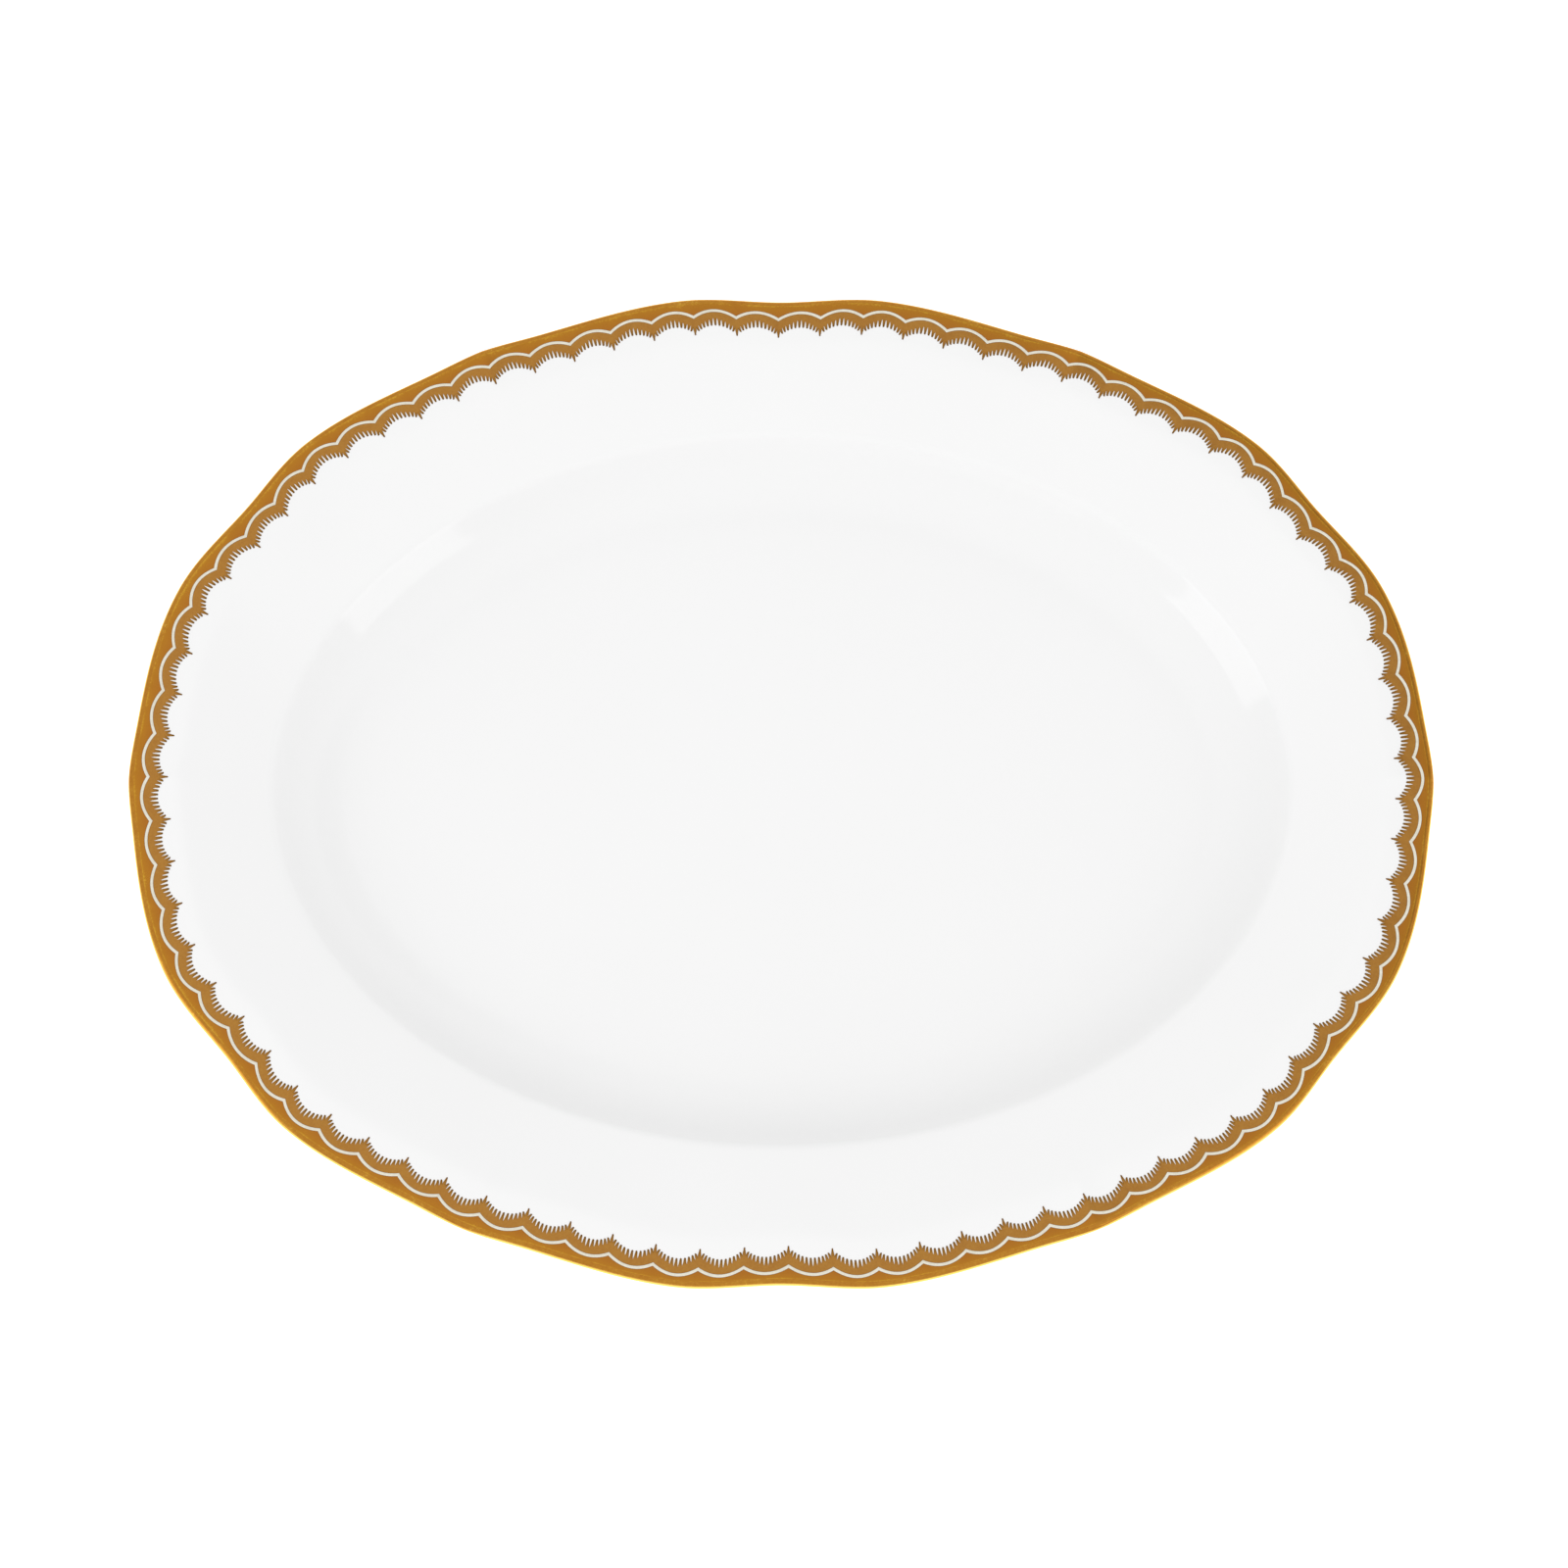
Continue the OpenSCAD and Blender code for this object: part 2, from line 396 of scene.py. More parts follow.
glazeRipple = buildGlazeRipple()
goldBloom = buildGoldBloom()

porcelainLook = {
    "bright": (0.905, 0.905, 0.905),
    "shade": (0.885, 0.885, 0.884),
    "gloss": (0.05, 0.11),
    "driftScale": 9.0,
    "rippleScale": 140.0,
    "bump": (0.25, 0.04 * mm),
}
biscuitLook = {
    "bare": (0.80, 0.765, 0.70),
    "bareDark": (0.62, 0.575, 0.50),
    "bareBelow": 0.75 * mm,
    "glazeAbove": 1.15 * mm,
    "edgeWander": 0.6 * mm,      # of the line where the glaze stops
    "gloss": (0.09, 0.78),       # of the glaze and of the bare clay
    "driftScale": 30.0,
    "rippleScale": 260.0,
    "grainScale": 2600,
    "bump": (0.5, 0.12 * mm),
}
noiseMiddle = (0.3, 0.7)         # the values between which most of a noise lies


def makePorcelain():
    material, nodes, links, shader = newMaterial("porcelainGlaze")
    coords = addNode(nodes, "ShaderNodeTexCoord")
    glaze = useGroup(nodes, links, glazeRipple, coords.outputs["Object"],
                     Drift_Scale=porcelainLook["driftScale"], Ripple_Scale=porcelainLook["rippleScale"])
    links.new(mixColour(nodes, links, glaze.outputs["Tone"], porcelainLook["bright"], porcelainLook["shade"]),
              shader.inputs["Base Color"])
    links.new(rangeNode(nodes, links, glaze.outputs["Gloss"], *noiseMiddle, *porcelainLook["gloss"]),
              shader.inputs["Roughness"])
    addBump(nodes, links, shader, glaze.outputs["Height"], *porcelainLook["bump"])
    shader.inputs["IOR"].default_value = 1.5
    return material


def makeFootFinish():
    material, nodes, links, shader = newMaterial("biscuitTread")
    coords = addNode(nodes, "ShaderNodeTexCoord")
    glaze = useGroup(nodes, links, glazeRipple, coords.outputs["Object"],
                     Drift_Scale=biscuitLook["driftScale"], Ripple_Scale=biscuitLook["rippleScale"])
    grain = noiseNode(nodes, links, coords.outputs["Object"], biscuitLook["grainScale"], 4, 0.7)
    place = addNode(nodes, "ShaderNodeSeparateXYZ")
    links.new(coords.outputs["Object"], place.inputs[0])
    wander = mathNode(nodes, links, "MULTIPLY_ADD", glaze.outputs["Tone"], biscuitLook["edgeWander"],
                      place.outputs["Z"])
    bare = rangeNode(nodes, links, wander, biscuitLook["bareBelow"], biscuitLook["glazeAbove"], 1, 0)
    clay = mixColour(nodes, links, rangeNode(nodes, links, grain, 0.35, 0.75, 0, 1),
                     biscuitLook["bare"], biscuitLook["bareDark"])
    glazed = mixColour(nodes, links, glaze.outputs["Tone"], porcelainLook["bright"], porcelainLook["shade"])
    links.new(mixColour(nodes, links, bare, glazed, clay), shader.inputs["Base Color"])
    links.new(rangeNode(nodes, links, bare, 0, 1, *biscuitLook["gloss"]), shader.inputs["Roughness"])
    grainHeight = mathNode(nodes, links, "MULTIPLY", grain, bare)
    addBump(nodes, links, shader, grainHeight, *biscuitLook["bump"])
    return material


lipGoldLook = {
    "deep": (0.42, 0.17, 0.022),
    "mid": (0.48, 0.22, 0.028),
    "bright": (0.72, 0.47, 0.075),
    # edge: a painted highlight, bright yellow on the lip's outer side, standing in for the reflection of the
    # bright room
    "edge": (0.84, 0.58, 0.13),
    "highlightBelow": (0.9 * mm, 0.3 * mm),   # under the border's level: wholly painted highlight, none of it
    "roughness": (0.14, 0.30),
    "patchScale": 110.0,
    "streakScale": 1100.0,
    "bump": (0.15, 0.03 * mm),
    "metallic": 1,
}
groundLook = {
    "brightGold": (0.60, 0.33, 0.035),
    "midGold": (0.455, 0.192, 0.022),
    "brownGold": (0.42, 0.158, 0.024),
    "keyline": (0.17, 0.085, 0.03),
    "keylineWidth": 0.2,         # millimetres on the fromLine attribute
    "perMillimetre": 0.24,       # how fast the gold darkens inwards from the lip
    "mottle": 0.9,
    "roughness": (0.25, 0.42),
    "patchScale": 160.0,
    "streakScale": 1600.0,
    "bump": (0.2, 0.04 * mm),
    "metallic": 1,
}
combLook = {
    "band": (0.39, 0.175, 0.037),
    "bandLight": (0.455, 0.222, 0.047),
    "tooth": (0.19, 0.09, 0.015),
    "toothFrom": (0.02, 0.7),    # on the toTip attribute
    "keyline": (0.17, 0.085, 0.03),
    "roughness": (0.28, 0.45),
    "patchScale": 160.0,
    "streakScale": 1500.0,
    "bump": (0.2, 0.04 * mm),
    "metallic": 1,
}
lineLook = {
    "pale": (0.78, 0.755, 0.65),
    "dim": (0.66, 0.62, 0.50),
    "roughness": (0.16, 0.3),
    "patchScale": 300.0,
    "streakScale": 1400.0,
    "bump": (0.2, 0.03 * mm),
    "metallic": 0,
}


# What the four laid finishes share: mottled roughness, bump and a shade of thickness
def startGilding(name, look):
    material, nodes, links, shader = newMaterial(name)
    coords = addNode(nodes, "ShaderNodeTexCoord")
    gold = useGroup(nodes, links, goldBloom, coords.outputs["Object"],
                    Patch_Scale=look["patchScale"], Streak_Scale=look["streakScale"])
    links.new(rangeNode(nodes, links, gold.outputs["Gloss"], *noiseMiddle, *look["roughness"]),
              shader.inputs["Roughness"])
    shader.inputs["Metallic"].default_value = look["metallic"]
    addBump(nodes, links, shader, gold.outputs["Height"], *look["bump"])
    return material, nodes, links, shader, gold.outputs["Tone"]


def makeLipGold():
    material, nodes, links, shader, tone = startGilding("burnishedGold", lipGoldLook)
    coords = addNode(nodes, "ShaderNodeTexCoord")
    metal = rampNode(nodes, links, tone,
                     [(0.38, lipGoldLook["deep"]), (0.58, lipGoldLook["mid"]), (0.76, lipGoldLook["bright"])])
    place = addNode(nodes, "ShaderNodeSeparateXYZ")
    links.new(coords.outputs["Object"], place.inputs[0])
    # painted highlight: the lip's side below the border's level is coloured bright yellow, fading out towards
    # the top
    wholly, none = lipGoldLook["highlightBelow"]
    edge = rangeNode(nodes, links, place.outputs["Z"], borderZ - wholly, borderZ - none, 1, 0)
    links.new(mixColour(nodes, links, edge, metal, lipGoldLook["edge"]), shader.inputs["Base Color"])
    return material


def makeGroundGold():
    material, nodes, links, shader, tone = startGilding("groundGold", groundLook)
    fromLine = addNode(nodes, "ShaderNodeAttribute", attribute_name="fromLine")
    fromLip = addNode(nodes, "ShaderNodeAttribute", attribute_name="fromLip")
    offTone = mathNode(nodes, links, "SUBTRACT", tone, 0.42)
    wander = mathNode(nodes, links, "MULTIPLY", offTone, groundLook["mottle"])
    across = mathNode(nodes, links, "MULTIPLY_ADD", fromLip.outputs["Fac"],
                      groundLook["perMillimetre"], wander)
    metal = rampNode(nodes, links, across, [(0.0, groundLook["brightGold"]), (0.16, groundLook["midGold"]),
                                            (0.85, groundLook["brownGold"])])
    line = rangeNode(nodes, links, fromLine.outputs["Fac"], 0.0, groundLook["keylineWidth"], 1, 0)
    links.new(mixColour(nodes, links, line, metal, groundLook["keyline"]), shader.inputs["Base Color"])
    return material


def makeCombGold():
    material, nodes, links, shader, tone = startGilding("combGold", combLook)
    fromLine = addNode(nodes, "ShaderNodeAttribute", attribute_name="fromLine")
    toTip = addNode(nodes, "ShaderNodeAttribute", attribute_name="toTip")
    metal = rampNode(nodes, links, tone, [(0.35, combLook["band"]), (0.65, combLook["bandLight"])])
    tooth = rangeNode(nodes, links, toTip.outputs["Fac"], *combLook["toothFrom"], 0, 1)
    line = rangeNode(nodes, links, fromLine.outputs["Fac"], 0.0, groundLook["keylineWidth"], 1, 0)
    toothed = mixColour(nodes, links, tooth, metal, combLook["tooth"])
    links.new(mixColour(nodes, links, line, toothed, combLook["keyline"]), shader.inputs["Base Color"])
    return material


def makePaleEnamel():
    material, nodes, links, shader, tone = startGilding("paleEnamel", lineLook)
    links.new(rampNode(nodes, links, tone, [(0.3, lineLook["dim"]), (0.62, lineLook["pale"])]),
              shader.inputs["Base Color"])
    return material


# ---- the dish: floor, well, rim and rounded lip ----

dish = {
    "rimWidth": 45 * mm,
    "rimRise": 6 * mm,
    "wallAngle": 48,
    "wellDepth": 13 * mm,
    "breakRadius": 5 * mm,
    "hollowRadius": 26 * mm,
    "borderWidth": 12.9 * mm,
    "borderBend": 2.5 * mm,
    "lipThickness": 2.8 * mm,
    "wallThickness": 4 * mm,
    "heelRadius": 12 * mm,
    "rimSpacing": 3.2 * mm,
    "floorSpacing": 22 * mm,
    "lipSteps": 16,
}
borderZ = bodyHigh.z
underZ = footHigh.z
breakZ = borderZ - dish["rimRise"]
floorZ = breakZ - dish["wellDepth"]
lipRadius = dish["lipThickness"] / 2
lipZ = borderZ - lipRadius
middle = outline["halfLength"]


def lipArc(radius, firstAngle, lastAngle, steps):
    turns = [math.radians(mix(firstAngle, lastAngle, i / steps)) for i in range(steps + 1)]
    return [Vector((lipRadius - radius * math.cos(turn), lipZ + radius * math.sin(turn))) for turn in turns]


def dishSection():
    wallAngle = math.radians(dish["wallAngle"])
    lipTop = (lipRadius, borderZ)
    borderCorner = (dish["borderWidth"] + dish["borderBend"], borderZ)
    breakCorner = (dish["rimWidth"], breakZ)
    floorCorner = (dish["rimWidth"] + dish["wellDepth"] / math.tan(wallAngle), floorZ)
    floorMiddle = (middle, floorZ)
    lipUnder = (lipRadius, borderZ - dish["lipThickness"])
    borderUnder = underCorner(breakCorner, borderCorner, lipTop, -dish["lipThickness"])
    breakUnder = underCorner(floorCorner, breakCorner, borderCorner, -dish["wallThickness"])
    heelCorner = underCorner(floorMiddle, floorCorner, breakCorner, underZ - floorZ)
    underMiddle = (middle, underZ)
    rimSlope = math.atan2(dish["rimRise"], dish["rimWidth"] - borderCorner[0])
    bendRadius = dish["borderBend"] / math.tan(rimSlope / 2)

    floor = filled([floorMiddle, (outline["floorFrom"], floorZ)], dish["floorSpacing"])
    top = (roundedCorner(floorMiddle, floorCorner, breakCorner, dish["hollowRadius"], 16)
           + roundedCorner(floorCorner, breakCorner, borderCorner, dish["breakRadius"], 8)
           + roundedCorner(breakCorner, borderCorner, lipTop, bendRadius, 4))
    under = (roundedCorner(lipUnder, borderUnder, breakUnder, bendRadius, 3)
             + roundedCorner(borderUnder, breakUnder, heelCorner, dish["breakRadius"], 6)
             + roundedCorner(breakUnder, heelCorner, underMiddle, dish["heelRadius"], 9))
    lip = lipArc(lipRadius, 90, -90, dish["lipSteps"])
    return floor + filled(top + lip + under, dish["rimSpacing"]) + filled(
        [(outline["floorFrom"], underZ), underMiddle], dish["floorSpacing"])


dishPiece = spinSection("dish", dishSection(), closed=False)
finishPiece(dishPiece, "body", makePorcelain(), smoothAngle=60)


# ---- the foot that the dish stands on ----

foot = {
    "outer": 61.25 * mm,         # inset of its outer side
    "width": 5 * mm,
    "flare": 1.0 * mm,           # how far it spreads where it meets the dish
    "taper": 0.35 * mm,
    "treadRound": 1.3 * mm,
    "sunk": 0.3 * mm,
}


def footSection():
    high, low = underZ, footLow.z
    outer, inner = foot["outer"], foot["outer"] + foot["width"]
    flare, taper, sunk = foot["flare"], foot["taper"], foot["sunk"]
    outerTop, innerTop = (outer - flare, high), (inner + flare, high)
    outerWaist, innerWaist = (outer, high), (inner, high)
    outerTread, innerTread = (outer + taper, low), (inner - taper, low)
    return ([Vector((outer - flare, high + sunk))]
            + roundedCorner(outerTop, outerWaist, outerTread, flare, 5)
            + roundedCorner(outerWaist, outerTread, innerTread, foot["treadRound"], 6)
            + roundedCorner(outerTread, innerTread, innerWaist, foot["treadRound"], 6)
            + roundedCorner(innerTread, innerWaist, innerTop, flare, 5)
            + [Vector((inner + flare, high + sunk))])


footPiece = spinSection("foot", footSection(), closed=True)
finishPiece(footPiece, "foot_ring", makeFootFinish(), smoothAngle=50)


# ---- burnished gold over the lip ----

lipGold = {
    "width": 1.8 * mm,
    "thickness": 0.1 * mm,
    "under": -60,                # degrees round the lip at which it ends below
    "steps": 14,
}


def lipGoldSection():
    outer = lipArc(lipRadius + lipGold["thickness"], 90, lipGold["under"], lipGold["steps"])
    inner = lipArc(lipRadius, lipGold["under"], 90, lipGold["steps"])
    return ([Vector((lipGold["width"], borderZ + lipGold["thickness"]))] + outer + inner
            + [Vector((lipGold["width"], borderZ))])


lipPiece = spinSection("lip_gold", lipGoldSection(), closed=True)
finishPiece(lipPiece, "lip_gilding", makeLipGold(), smoothAngle=50)


# ---- the border: arches of gold and pale enamel, laid as a strip and wrapped round ----

border = {
    "arches": 81,
    "archInset": 3.85 * mm,
    "archDepth": 2.2 * mm,
    "lineWidth": 0.88 * mm,
    "steps": 24,                 # along one arch
    "layer": 0.1 * mm,
    "sunk": 0.05 * mm,
    "lineCrown": 0.07 * mm,      # how far the pale line stands up in its middle
    "printedAt": 7 * mm,         # inset at which the strip keeps its true length
    "firstCusp": 269.1,          # degrees, at the middle of the near side
    "drift": -1.34,              # how the laid print wanders, in degrees round the oval
    "stretch": 0.93,
    "stretchTwice": 0.45,
    "stretchAcross": -0.31,
    "offCentre": 0.5 * mm,       # how far the laid print sits off the middle of the dish
    "offCentreFrom": 120,        # degrees, the side where it lies furthest in
}
printedOval = outline["halfLength"] + outline["halfWidth"] - 2 * border["printedAt"]
archWidth = math.pi * printedOval / border["arches"]


def archInsetAt(along):
    return border["archInset"] + border["archDepth"] * (2 * along / archWidth - 1) ** 2


def archSlopeAt(along):
    return border["archDepth"] * 4 * (2 * along / archWidth - 1) / archWidth


# Side is -1 on the lip's side of the pale line and +1 on the comb's
def lineEdge(along, side):
    steep = math.sqrt(1 + archSlopeAt(along) ** 2)
    return archInsetAt(along) + side * border["lineWidth"] / 2 * steep


def evenAngle(share):
    longSide, shortSide = outline["halfLength"] ** 2, outline["halfWidth"] ** 2
    flatness = (longSide - shortSide) / (longSide + shortSide)
    turn = math.radians(share)
    laid = (share + border["drift"] * math.sin(turn) + border["stretch"] * math.sin(2 * turn)
            + border["stretchTwice"] * math.sin(4 * turn) + border["stretchAcross"] * math.cos(2 * turn))
    return laid + flatness / 4 * 180 / math.pi * math.sin(math.radians(2 * laid))


# A plane one arch long, cut into a grid of steps and rows; y runs from 0 to 1 across it
def archGrid(name, rows):
    clearSelection()
    bpy.ops.mesh.primitive_plane_add(size=1, location=(0.5, 0.5, 0))
    piece = bpy.context.object
    piece.name = name
    bpy.ops.object.transform_apply(location=True, rotation=True, scale=True)
    bpy.ops.object.mode_set(mode="EDIT")
    bpy.ops.mesh.select_all(action="SELECT")
    for i in range(1, border["steps"]):
        bpy.ops.mesh.select_all(action="SELECT")
        bpy.ops.mesh.bisect(plane_co=(i / border["steps"], 0, 0), plane_no=(1, 0, 0))
    for i in range(1, rows):
        bpy.ops.mesh.select_all(action="SELECT")
        bpy.ops.mesh.bisect(plane_co=(0, i / rows, 0), plane_no=(0, 1, 0))
    bpy.ops.object.mode_set(mode="OBJECT")
    return piece


def wrapRound(piece):
    row = piece.modifiers.new("arches", "ARRAY")
    row.count = border["arches"]
    row.use_relative_offset = False
    row.use_constant_offset = True
    row.constant_offset_displace = (archWidth, 0, 0)
    row.use_merge_vertices = True
    row.merge_threshold = 2 * samePoint
    applyModifier(piece, row)
    for vert in piece.data.vertices:
        share = border["firstCusp"] + vert.co.x / archWidth * 360 / border["arches"]
        angle = evenAngle(share)
        beyondLip = ease((vert.co.y - lipGold["width"]) / border["lineWidth"])
        shift = border["offCentre"] * math.cos(math.radians(angle - border["offCentreFrom"]))
        vert.co = onDish(angle, vert.co.y + beyondLip * shift, borderZ + vert.co.z)
    piece.data.update()
    closeMesh(piece, 2 * samePoint)


def addAttribute(piece, name, values):
    attribute = piece.data.attributes.new(name, "FLOAT", "POINT")
    attribute.data.foreach_set("value", values)


# Closes an open sheet by pulling a copy of it down to just inside the porcelain
def layStripDown(piece, firstEnd, lastEnd):
    selectOnly(piece)
    bpy.ops.object.mode_set(mode="EDIT")
    bpy.ops.mesh.select_all(action="SELECT")
    bpy.ops.mesh.extrude_region_move(TRANSFORM_OT_translate={"value": (0, 0, 0)})
    bpy.ops.object.mode_set(mode="OBJECT")
    for vert in piece.data.vertices:
        if vert.select:
            vert.co.z = -border["sunk"]
    # the end walls of one arch would lie inside the row
    selectOnly(piece)
    bpy.ops.object.mode_set(mode="EDIT")
    bpy.ops.mesh.select_all(action="DESELECT")
    bpy.ops.object.mode_set(mode="OBJECT")
    for face in piece.data.polygons:
        ends = [piece.data.vertices[i].co.x for i in face.vertices]
        face.select = max(ends) < firstEnd + samePoint or min(ends) > lastEnd - samePoint
    bpy.ops.object.mode_set(mode="EDIT")
    bpy.ops.mesh.select_mode(type="FACE")
    bpy.ops.mesh.delete(type="FACE")
    bpy.ops.mesh.select_mode(type="VERT")
    bpy.ops.object.mode_set(mode="OBJECT")


def makeGroundBand():
    piece = archGrid("ground_gold", 3)
    distances, depths = [], []
    for vert in piece.data.vertices:
        along, share = vert.co.x * archWidth, vert.co.y
        edge = lineEdge(along, -1)
        inset = mix(lipGold["width"], edge, share)
        vert.co = (along, inset, border["layer"])
        distances.append((edge - inset) / mm)
        depths.append((inset - lipGold["width"]) / mm)
    addAttribute(piece, "fromLine", distances)
    addAttribute(piece, "fromLip", depths)
    layStripDown(piece, 0, archWidth)
    wrapRound(piece)
    finishPiece(piece, "ground_band", makeGroundGold(), smoothAngle=35)


def makePaleLine():
    piece = archGrid("pale_line", 4)
    for vert in piece.data.vertices:
        along, share = vert.co.x * archWidth, vert.co.y
        inset = mix(lineEdge(along, -1), lineEdge(along, 1), share)
        crown = math.sqrt(max(0, 1 - (2 * share - 1) ** 2))
        vert.co = (along, inset, border["layer"] + border["lineCrown"] * crown)
    layStripDown(piece, 0, archWidth)
    wrapRound(piece)
    finishPiece(piece, "scallop_line", makePaleEnamel(), smoothAngle=50)


comb = {
    "shortTeeth": 11,            # to an arch, besides the long one at its cusp
    "spread": (0.0956, 0.000464),    # their places from the middle of the arch
    "gapAtCrest": 2.15 * mm,     # from the middle of the line to the start of the gaps
    "gapAtCusp": 3.4 * mm,
    "tip": 5.15 * mm,            # from the middle of the line to the teeth's tips
    "longTip": 6.2 * mm,
    "lean": 0.36,                # of the teeth beside a cusp, towards the middle of the arch
    "leanBack": 1.9 * mm,        # from where a tooth's place is told, back to where it starts
    "leanOn": 0.9 * mm,          # and on to its tip
    "rowsDown": (0, 0, 0.30, 0.68, 0.93, 1.0),   # how far down a tooth each of its rows lies
    "sides": (0.42, 0.32, 0.24),     # half width down a tooth, in pitches
    "longSides": (0.46, 0.27, 0.20),
    "crown": 0.05 * mm,
}


# One tooth with its piece of the band: a plane two columns wide and five rows long,
# x from -0.5 to 0.5 across it and y counting the rows from the line to the tip
def toothBlank():
    clearSelection()
    bpy.ops.mesh.primitive_plane_add(size=1, location=(0, 2.5, 0))
    piece = bpy.context.object
    piece.scale = (1, 5, 1)
    bpy.ops.object.transform_apply(location=True, rotation=True, scale=True)
    bpy.ops.object.mode_set(mode="EDIT")
    for place, normal in [((0, 0, 0), (1, 0, 0))] + [((0, i, 0), (0, 1, 0)) for i in range(1, 5)]:
        bpy.ops.mesh.select_all(action="SELECT")
        bpy.ops.mesh.bisect(plane_co=place, plane_no=normal)
    bpy.ops.mesh.select_all(action="DESELECT")
    bpy.ops.object.mode_set(mode="OBJECT")
    for vert in piece.data.vertices:
        vert.select = vert.co.y > 4.9
    bpy.ops.object.mode_set(mode="EDIT")
    bpy.ops.mesh.merge(type="CENTER")
    bpy.ops.object.mode_set(mode="OBJECT")
    return piece


def toothLean(along):
    across = 1 - 2 * along / archWidth
    return comb["lean"] * across * abs(across)


def gapStart(along):
    towardsCusp = abs(2 * along / archWidth - 1)
    return mix(comb["gapAtCusp"], comb["gapAtCrest"], (1 - towardsCusp) ** 2)


# Places of the teeth where the gaps start, and of their tips, from the cusp before the arch
def toothPlaces():
    half = comb["shortTeeth"] // 2
    near, far = comb["spread"]
    places = []
    for step in range(-half, half + 1):
        centre = (0.5 + near * step - far * step ** 3) * archWidth
        lean = toothLean(centre)
        places.append((centre - lean * comb["leanBack"], centre + lean * comb["leanOn"]))
    return places


def shapeTooth(tooth, left, right, root, point, sides, tipDepth):
    fromLine, toTip = [], []
    pitch = archWidth / (comb["shortTeeth"] + 1)
    for vert in tooth.data.vertices:
        sideways, row = vert.co.x, round(vert.co.y)
        side = root if abs(sideways) < 0.1 else (left if sideways < 0 else right)
        if row <= 1:
            along = side
            folded = min(abs(along), archWidth) if along < archWidth else along
            depth = gapStart(folded) * row
            inset = lineEdge(folded, 1) if row == 0 else archInsetAt(folded) + depth
        else:
            down = comb["rowsDown"][row]
            half = sides[row - 2] * pitch * 2 if row < 5 else 0
            along = mix(root, point, down) + sideways * half
            depth = mix(gapStart(min(abs(root), archWidth)), tipDepth, down)
            inset = archInsetAt(min(abs(root), archWidth)) + depth
        crown = comb["crown"] if abs(sideways) < 0.1 and 1 <= row < 5 else 0
        vert.co = (along, inset, border["layer"] + crown)
        fromLine.append((inset - lineEdge(min(abs(along), archWidth), 1)) / mm)
        toTip.append((row - 1) / 4)
    addAttribute(tooth, "fromLine", fromLine)
    addAttribute(tooth, "toTip", toTip)


def makeComb():
    blank = toothBlank()
    places = toothPlaces()
    roots = [0] + [root for root, point in places] + [archWidth]
    edges = [(a + b) / 2 for a, b in zip(roots, roots[1:])]
    teeth = []
    for i in range(comb["shortTeeth"] + 1):
        tooth = blank.copy()
        tooth.data = blank.data.copy()
        bpy.context.collection.objects.link(tooth)
        if i == 0:
            shapeTooth(tooth, edges[-1] - archWidth, edges[0], 0, 0, comb["longSides"], comb["longTip"])
        else:
            root, point = places[i - 1]
            shapeTooth(tooth, edges[i - 1], edges[i], root, point, comb["sides"], comb["tip"])
        teeth.append(tooth)
    clearSelection()
    bpy.data.objects.remove(blank)
    for tooth in teeth:
        tooth.select_set(True)
    piece = teeth[0]
    bpy.context.view_layer.objects.active = piece
    bpy.ops.object.join()
    piece.name = "comb"
    closeMesh(piece, 3 * samePoint)
    for face in piece.data.polygons:
        if face.normal.z < 0:
            face.flip()
    layStripDown(piece, -edges[0], archWidth - edges[0])
    wrapRound(piece)
    finishPiece(piece, "comb_band", makeCombGold(), smoothAngle=35)


makeGroundBand()
makePaleLine()
makeComb()


# ---- studio ----

studio = {
    "target": (0.9 * mm, -2.0 * mm, borderZ),
    "distance": 1.3466,
    "elevation": 75,
    "lens": 99.5,
    "skyLight": 0.962,
    "skyFront": 0.02,            # how much brighter the tent is towards the front
    "skyRight": 0.02,
    "skyTop": 0.10,
    "dimWay": (0.38, 0.37, 0.85),    # a soft dim patch of the tent, high at the back right
    "dimFrom": (0.91, 0.985),
    "dimBy": 0.42,
    "floorGlow": 0.7,
    "floorLight": (0.93, 0.93, 0.93),
    "floorDark": (0.9, 0.9, 0.9),
}
softboxes = [
    {"name": "softbox_right", "way": (0.71, -0.60, 0.36), "distance": 1.2, "size": (0.5, 0.6), "power": 0.9},
    {"name": "softbox_left", "way": (-0.88, -0.35, 0.31), "distance": 1.6, "size": (0.8, 0.9), "power": 2.1},
    {"name": "strip_front", "way": (-0.25, -0.94, 0.22), "distance": 1.6, "size": (1.1, 0.06), "power": 0.4},
]


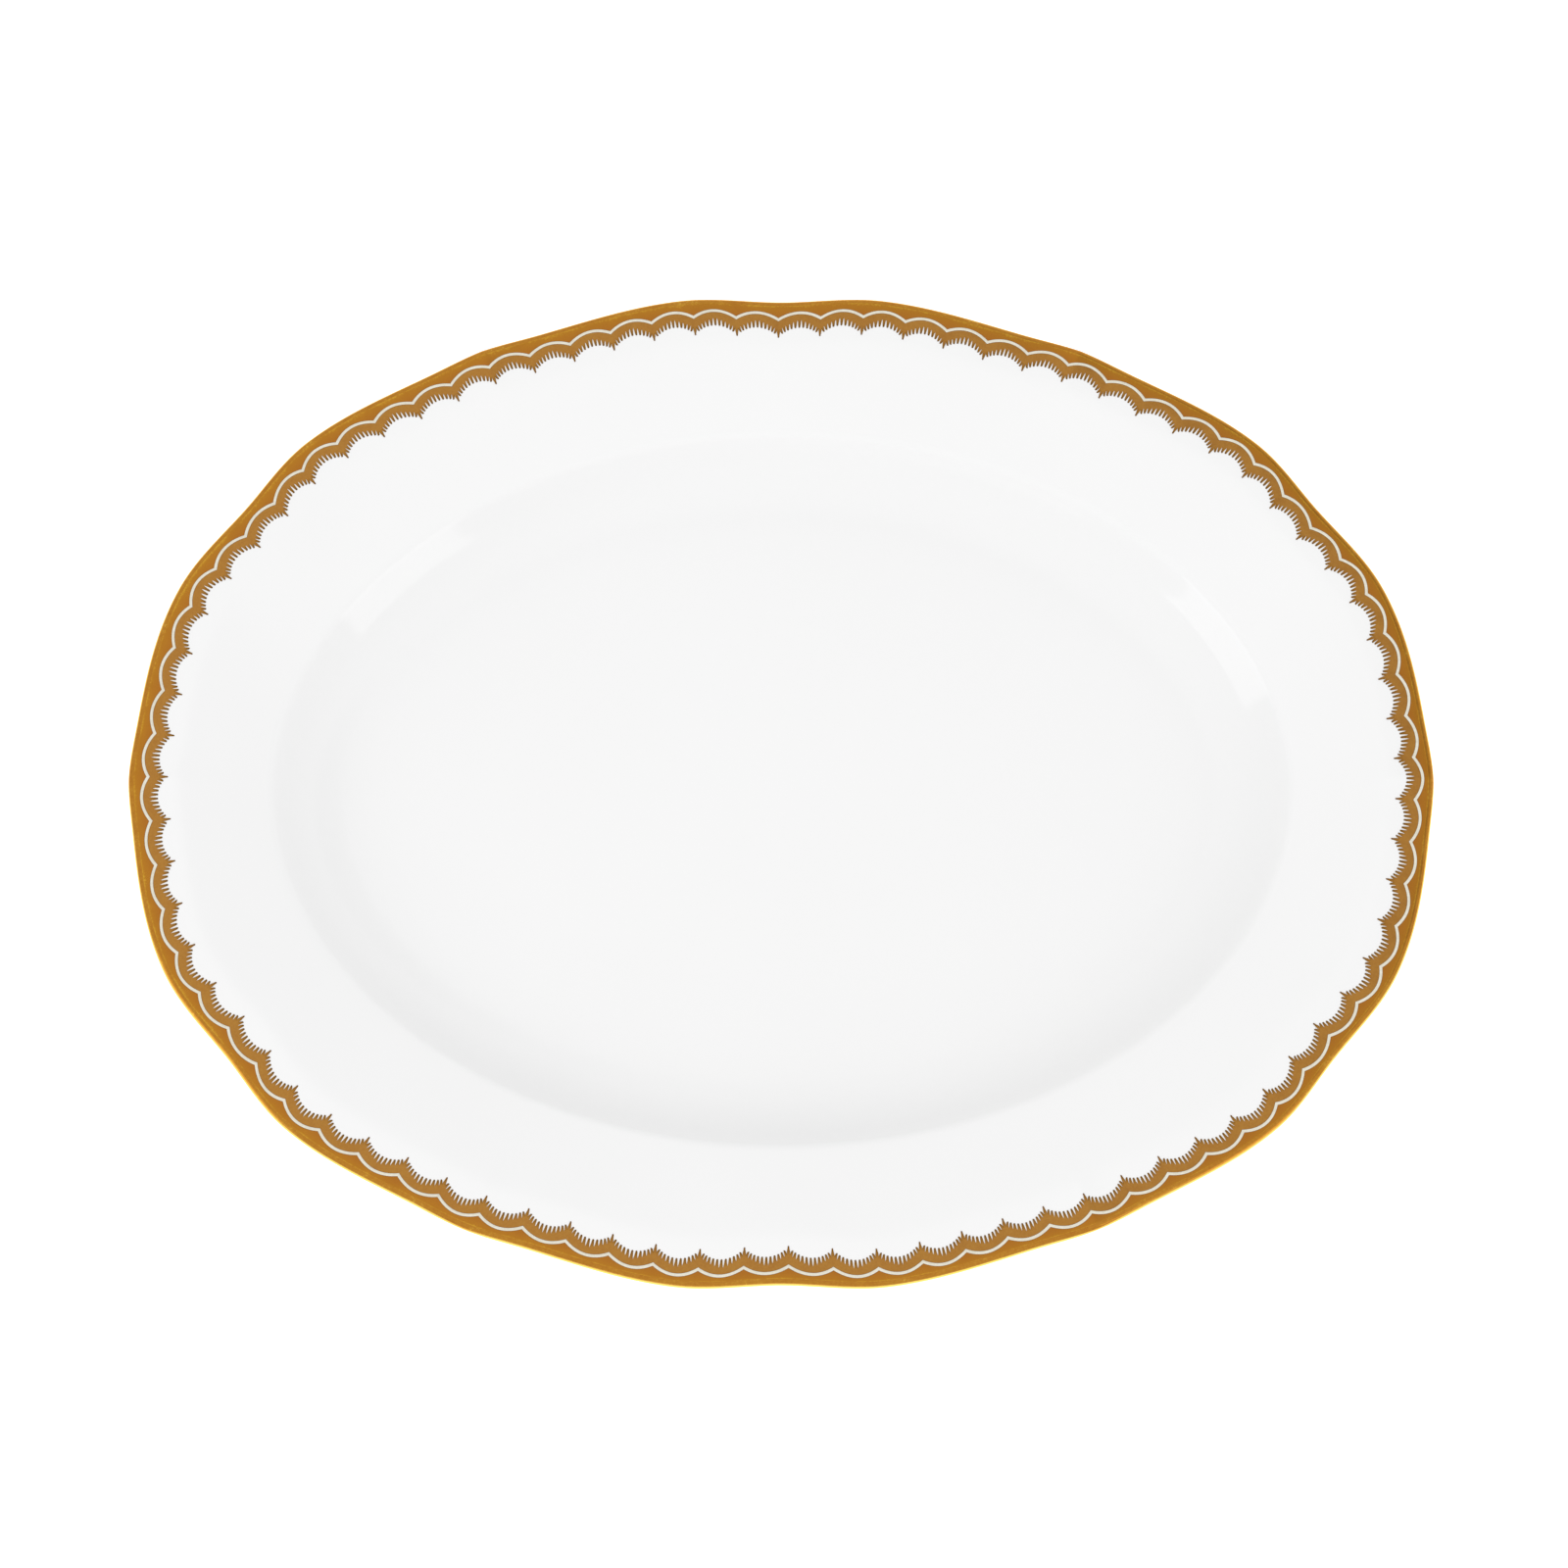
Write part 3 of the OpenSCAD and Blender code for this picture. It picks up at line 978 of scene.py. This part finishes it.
def buildStudio():
    clearSelection()
    bpy.ops.mesh.primitive_plane_add(size=30, location=(0, 0, cadLow.z))
    floor = bpy.context.object
    floor.name = "studio_floor"
    material, nodes, links, shader = newMaterial("paleFloor")
    coords = addNode(nodes, "ShaderNodeTexCoord")
    drift = noiseNode(nodes, links, coords.outputs["Object"], 3)
    links.new(mixColour(nodes, links, drift, studio["floorLight"], studio["floorDark"]),
              shader.inputs["Base Color"])
    shader.inputs["Roughness"].default_value = 0.9
    shader.inputs["Emission Color"].default_value = (1, 1, 1, 1)
    shader.inputs["Emission Strength"].default_value = studio["floorGlow"]
    floor.data.materials.append(material)

    world = bpy.data.worlds.new("studioWorld")
    bpy.context.scene.world = world
    world.use_nodes = True
    nodes, links = world.node_tree.nodes, world.node_tree.links
    way = addNode(nodes, "ShaderNodeSeparateXYZ")
    direction = addNode(nodes, "ShaderNodeTexCoord")
    links.new(direction.outputs["Generated"], way.inputs[0])
    glow = mathNode(nodes, links, "MULTIPLY_ADD", way.outputs["Y"], -studio["skyFront"], 1.0)
    glow = mathNode(nodes, links, "MULTIPLY_ADD", way.outputs["X"], studio["skyRight"], glow)
    glow = mathNode(nodes, links, "MULTIPLY_ADD", way.outputs["Z"], studio["skyTop"], glow)
    nearDim = addNode(nodes, "ShaderNodeVectorMath", operation="DOT_PRODUCT")
    links.new(direction.outputs["Generated"], nearDim.inputs[0])
    nearDim.inputs[1].default_value = Vector(studio["dimWay"]).normalized()
    dim = addNode(nodes, "ShaderNodeMapRange", interpolation_type="SMOOTHSTEP")
    links.new(nearDim.outputs["Value"], dim.inputs["Value"])
    dim.inputs["From Min"].default_value, dim.inputs["From Max"].default_value = studio["dimFrom"]
    glow = mathNode(nodes, links, "MULTIPLY_ADD", dim.outputs["Result"], -studio["dimBy"], glow)
    links.new(mathNode(nodes, links, "MULTIPLY", glow, studio["skyLight"]),
              nodes["Background"].inputs["Strength"])
    nodes["Background"].inputs["Color"].default_value = (1, 1, 1, 1)

    for box in softboxes:
        way = Vector(box["way"]).normalized()
        bpy.ops.object.light_add(type="AREA", location=way * box["distance"])
        light = bpy.context.object
        light.name = box["name"]
        light.rotation_euler = way.to_track_quat("Z", "Y").to_euler()
        light.data.shape = "RECTANGLE"
        light.data.size, light.data.size_y = box["size"]
        light.data.energy = box["power"]
        light.visible_camera = False

    rise = math.radians(studio["elevation"])
    target = Vector(studio["target"])
    place = target + Vector((0, -math.cos(rise), math.sin(rise))) * studio["distance"]
    bpy.ops.object.camera_add(location=place, rotation=(math.pi / 2 - rise, 0, 0))
    camera = bpy.context.object
    camera.name = "camera"
    camera.data.sensor_width = 36
    camera.data.lens = studio["lens"]
    bpy.context.scene.camera = camera
    bpy.context.scene.view_settings.view_transform = "Standard"
    bpy.context.scene.view_settings.look = "None"
    print("studio ready")


buildStudio()
